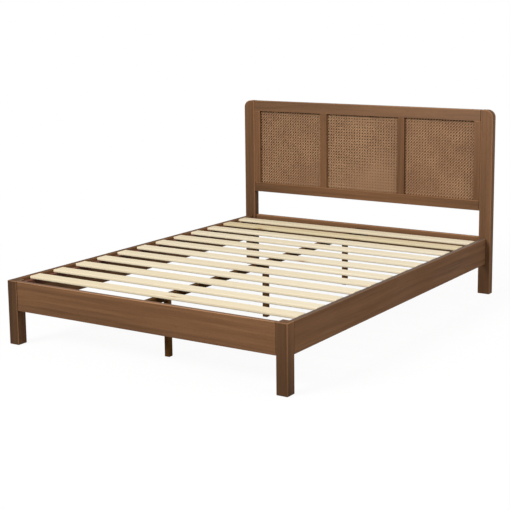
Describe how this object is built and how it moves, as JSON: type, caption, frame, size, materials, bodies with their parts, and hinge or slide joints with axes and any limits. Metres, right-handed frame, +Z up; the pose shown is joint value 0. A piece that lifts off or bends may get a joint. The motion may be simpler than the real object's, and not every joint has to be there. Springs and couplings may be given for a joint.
{
  "type": "rattan bed",
  "caption": "Wooden platform bed frame with slats, a centre beam on legs, and a headboard of three woven cane panels in a frame.",
  "frame": {"origin": "on the floor under the middle of the whole bed", "axes": "+X to the right seen from the foot, +Y from the foot to the headboard, +Z up"},
  "size_m": [1.637, 2.154, 1.035],
  "materials": {
    "walnut": "stained walnut-brown wood with a satin lacquer",
    "walnut_inside": "reddish stained softwood, thin lacquer",
    "backing_board": "stained plywood behind the cane, matt",
    "cane": "woven natural cane, stained, soft sheen",
    "slat_wood": "bare pale pine, sanded",
    "dark_wood": "dark brown painted wood, matt",
    "steel": "zinc-plated steel"
  },
  "bodies": {
    "root": {"headboard_top_rail": "walnut", "headboard_bottom_rail": "walnut", "head_cross_rail": "walnut", "head_post_left": "walnut", "headboard_stile_left": "walnut", "headboard_mullion_left": "walnut", "head_post_right": "walnut", "headboard_stile_right": "walnut", "headboard_mullion_right": "walnut", "cane_panel_left": "cane", "backing_board_left": "backing_board", "cane_panel_centre": "cane", "backing_board_centre": "backing_board", "cane_panel_right": "cane", "backing_board_right": "backing_board", "foot_rail": "walnut", "foot_post_left": "walnut", "foot_post_right": "walnut", "side_rail_left": "walnut", "slat_ledger_left": "walnut_inside", "corner_bracket_left": "steel", "bracket_bolt_left_lower": "steel", "bracket_bolt_left_upper": "steel", "head_bolt_left_lower": "steel", "barrel_nut_left_lower": "steel", "head_bolt_left_upper": "steel", "barrel_nut_left_upper": "steel", "side_rail_right": "walnut", "slat_ledger_right": "walnut_inside", "corner_bracket_right": "steel", "bracket_bolt_right_lower": "steel", "bracket_bolt_right_upper": "steel", "head_bolt_right_lower": "steel", "barrel_nut_right_lower": "steel", "head_bolt_right_upper": "steel", "barrel_nut_right_upper": "steel", "centre_beam": "dark_wood", "beam_hanger_foot": "steel", "beam_hanger_head": "steel", "centre_leg_foot": "dark_wood", "centre_leg_bolt_foot": "steel", "centre_leg_middle": "dark_wood", "centre_leg_bolt_middle": "steel", "centre_leg_head": "dark_wood", "centre_leg_bolt_head": "steel", "slat_01": "slat_wood", "slat_02": "slat_wood", "slat_03": "slat_wood", "slat_04": "slat_wood", "slat_05": "slat_wood", "slat_06": "slat_wood", "slat_07": "slat_wood", "slat_08": "slat_wood", "slat_09": "slat_wood", "slat_10": "slat_wood", "slat_11": "slat_wood", "slat_12": "slat_wood"}
  },
  "joints": []
}
